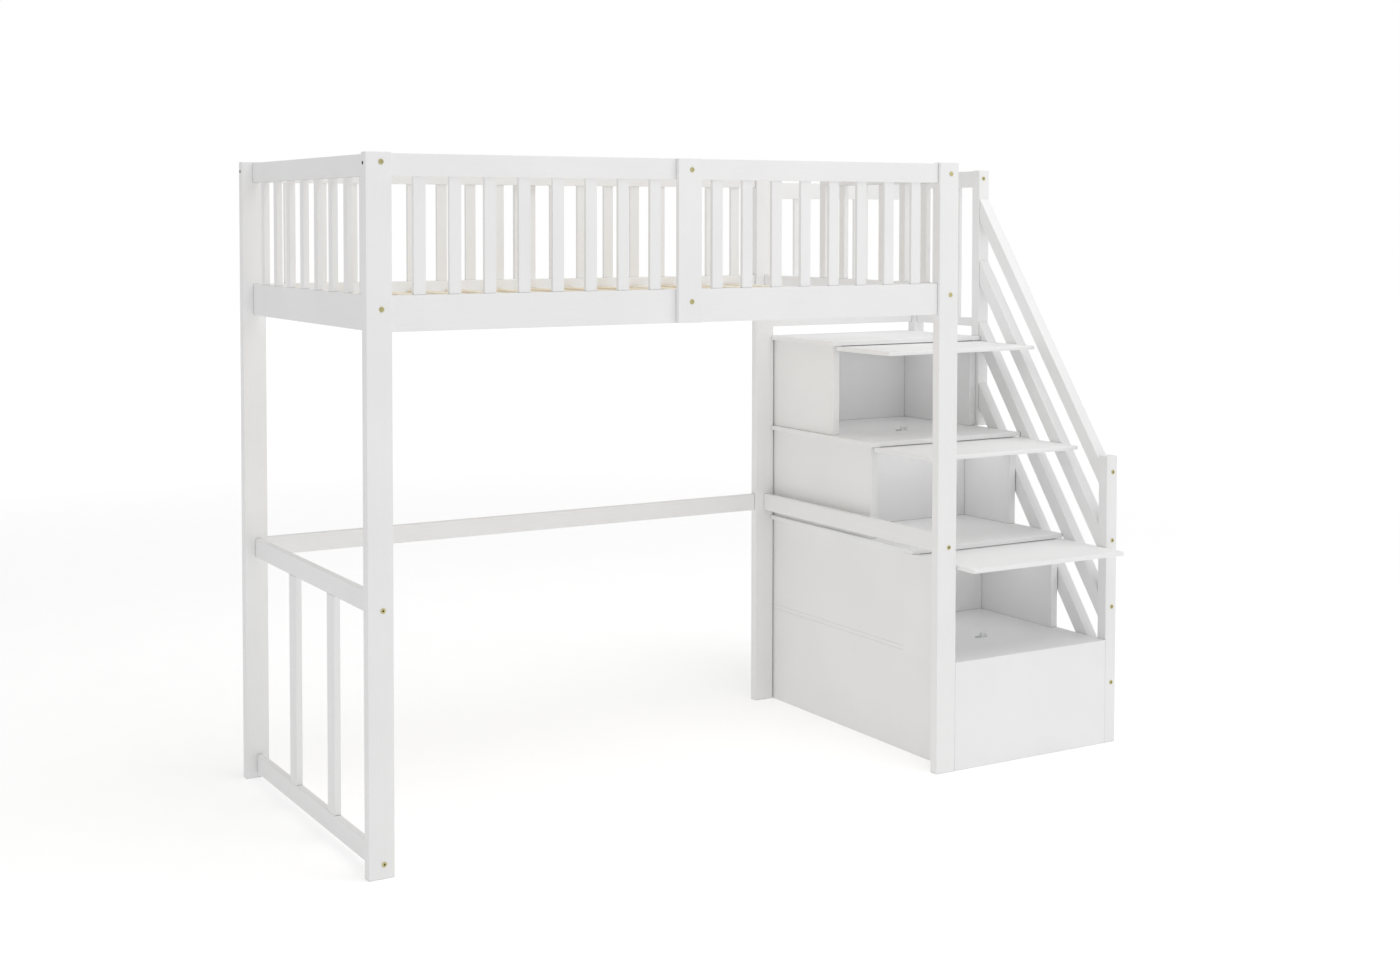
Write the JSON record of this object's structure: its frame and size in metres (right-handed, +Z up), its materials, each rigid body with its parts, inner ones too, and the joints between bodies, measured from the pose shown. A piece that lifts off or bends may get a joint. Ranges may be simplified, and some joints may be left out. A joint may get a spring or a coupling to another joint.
{
  "type": "loft bed",
  "caption": "White painted loft bed with slatted base and guards, entered over a stepped storage cabinet whose cubbies close with drop flaps, with a sloping handrail.",
  "frame": {"origin": "on the floor, under the middle of the outer box of the bed, the stairs and the open flaps", "axes": "+X along the bed towards the stairs, +Y from the front, where one climbs on, to the rear, +Z up"},
  "size_m": [2.747, 1.1844, 1.984],
  "materials": {
    "white_paint": "satin white paint on pine and fibreboard",
    "bare_pine": "sanded bare pine",
    "hinge_steel": "zinc plated",
    "bolt_brass": "dulled brass plate on steel bolt heads",
    "catch_plastic": "moulded white plastic of the magnetic catches"
  },
  "bodies": {
    "frame": {"post_front_left": "white_paint", "post_front_right": "white_paint", "post_rear_left": "white_paint", "post_rear_right": "white_paint", "side_rail_front_left": "white_paint", "side_rail_front_right": "white_paint", "side_rail_rear_left": "white_paint", "side_rail_rear_right": "white_paint", "guard_front_left": "white_paint", "guard_front_right": "white_paint", "guard_rear_left": "white_paint", "guard_rear_right": "white_paint", "joining_board_front": "white_paint", "joining_board_rear": "white_paint", "end_rail_left": "white_paint", "end_rail_right": "white_paint", "mid_rail_left": "white_paint", "mid_rail_right": "white_paint", "mid_rail_rear": "white_paint", "foot_rail_left": "white_paint", "lower_upright_1": "white_paint", "lower_upright_2": "white_paint", "guard_left_end": "white_paint", "guard_right_end": "white_paint", "slat_roll": "bare_pine", "base_front_panel": "white_paint", "base_side_left": "white_paint", "base_side_right": "white_paint", "first_tread": "white_paint", "lower_side_left": "white_paint", "lower_side_right": "white_paint", "lower_cubby_back": "white_paint", "second_tread": "white_paint", "middle_side_left": "white_paint", "middle_side_right": "white_paint", "middle_cubby_back": "white_paint", "third_tread": "white_paint", "upper_side_left": "white_paint", "upper_side_right": "white_paint", "upper_cubby_back": "white_paint", "landing_board": "white_paint", "step_side_board": "white_paint", "lower_hinge_fixed_leaf": "hinge_steel", "middle_hinge_fixed_leaf": "hinge_steel", "upper_hinge_fixed_leaf": "hinge_steel", "newel_front": "white_paint", "newel_upper": "white_paint", "newel_rear": "white_paint", "handrail": "white_paint", "stair_bar_1": "white_paint", "stair_bar_2": "white_paint", "stair_bar_3": "white_paint", "landing_guard_side": "white_paint", "landing_guard_rear": "white_paint"},
    "lower_flap": {"lower_flap": "white_paint", "lower_hinge_moving_leaf": "hinge_steel"},
    "middle_flap": {"middle_flap": "white_paint", "middle_hinge_moving_leaf": "hinge_steel"},
    "upper_flap": {"upper_flap": "white_paint", "upper_hinge_moving_leaf": "hinge_steel"}
  },
  "joints": [
    {"name": "lower_flap_hinge", "type": "hinge", "parent": "frame", "child": "lower_flap", "pos_m": [0.999, -0.28575, 0.6755], "axis": [1, 0, 0], "range_deg": [0, 90]},
    {"name": "middle_flap_hinge", "type": "hinge", "parent": "frame", "child": "middle_flap", "pos_m": [0.999, -0.06175, 1.012], "axis": [1, 0, 0], "range_deg": [0, 90]},
    {"name": "upper_flap_hinge", "type": "hinge", "parent": "frame", "child": "upper_flap", "pos_m": [0.999, 0.16225, 1.3485], "axis": [1, 0, 0], "range_deg": [0, 90]}
  ]
}
